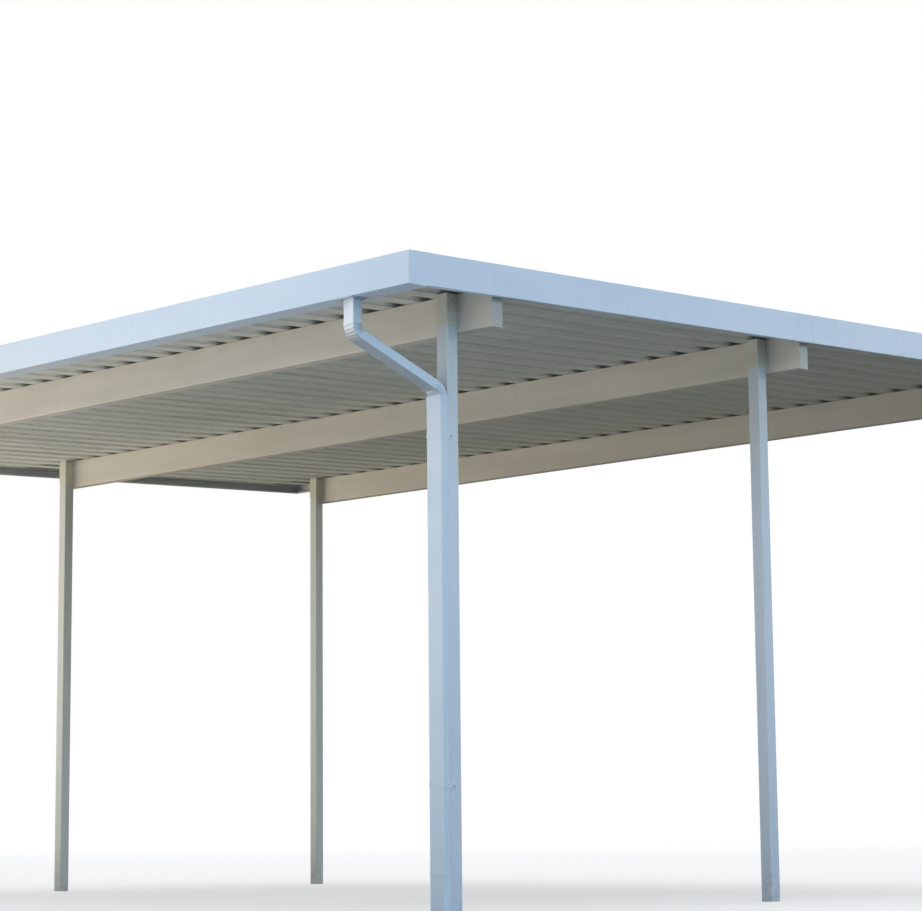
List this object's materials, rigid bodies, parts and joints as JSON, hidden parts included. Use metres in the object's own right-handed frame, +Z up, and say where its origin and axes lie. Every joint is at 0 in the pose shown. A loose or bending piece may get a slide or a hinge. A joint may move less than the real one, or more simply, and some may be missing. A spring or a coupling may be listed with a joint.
{
  "type": "carport",
  "caption": "Flat-roofed metal carport with ribbed roof sheets on three header beams and square posts, front gutter, fascia and downspout.",
  "frame": {"origin": "centre of the bounding box in X and Y, on the floor under the posts", "axes": "+X along the beams towards the side with the downspout, +Y along the roof sheets from the gutter to the high rear edge, +Z up"},
  "size_m": [7.523, 6.096, 3.4757],
  "materials": {
    "beam_enamel": "satin baked enamel, ivory white",
    "post_enamel": "satin baked enamel, white",
    "roof_enamel": "satin baked enamel, off-white, slightly chalked",
    "trim_enamel": "gloss baked enamel, white",
    "spout_enamel": "gloss baked enamel, white"
  },
  "bodies": {
    "root": {"header_beam_front": "beam_enamel", "beam_cap_front_right": "beam_enamel", "beam_cap_front_left": "beam_enamel", "post_front_left": "post_enamel", "saddle_front_left": "beam_enamel", "post_front_right": "post_enamel", "saddle_front_right": "beam_enamel", "header_beam_middle": "beam_enamel", "beam_cap_middle_right": "beam_enamel", "beam_cap_middle_left": "beam_enamel", "post_middle_left": "post_enamel", "saddle_middle_left": "beam_enamel", "post_middle_right": "post_enamel", "saddle_middle_right": "beam_enamel", "header_beam_rear": "beam_enamel", "beam_cap_rear_right": "beam_enamel", "beam_cap_rear_left": "beam_enamel", "post_rear_left": "post_enamel", "saddle_rear_left": "beam_enamel", "post_rear_right": "post_enamel", "saddle_rear_right": "beam_enamel", "roof_sheet_01": "roof_enamel", "roof_sheet_02": "roof_enamel", "roof_sheet_03": "roof_enamel", "roof_sheet_04": "roof_enamel", "roof_sheet_05": "roof_enamel", "roof_sheet_06": "roof_enamel", "roof_sheet_07": "roof_enamel", "roof_sheet_08": "roof_enamel", "roof_sheet_09": "roof_enamel", "roof_sheet_10": "roof_enamel", "roof_sheet_11": "roof_enamel", "roof_sheet_12": "roof_enamel", "roof_sheet_13": "roof_enamel", "gutter_right": "trim_enamel", "gutter_left": "trim_enamel", "gutter_splice": "trim_enamel", "gutter_end_right": "trim_enamel", "gutter_end_left": "trim_enamel", "side_fascia_right": "trim_enamel", "side_fascia_left": "trim_enamel", "rear_fascia": "trim_enamel", "downspout_outlet": "spout_enamel", "downspout_upper_elbow": "spout_enamel", "downspout_offset": "spout_enamel", "downspout_lower_elbow": "spout_enamel", "downspout": "spout_enamel", "downspout_shoe": "spout_enamel", "downspout_strap_upper": "spout_enamel", "downspout_strap_lower": "spout_enamel"}
  },
  "joints": []
}
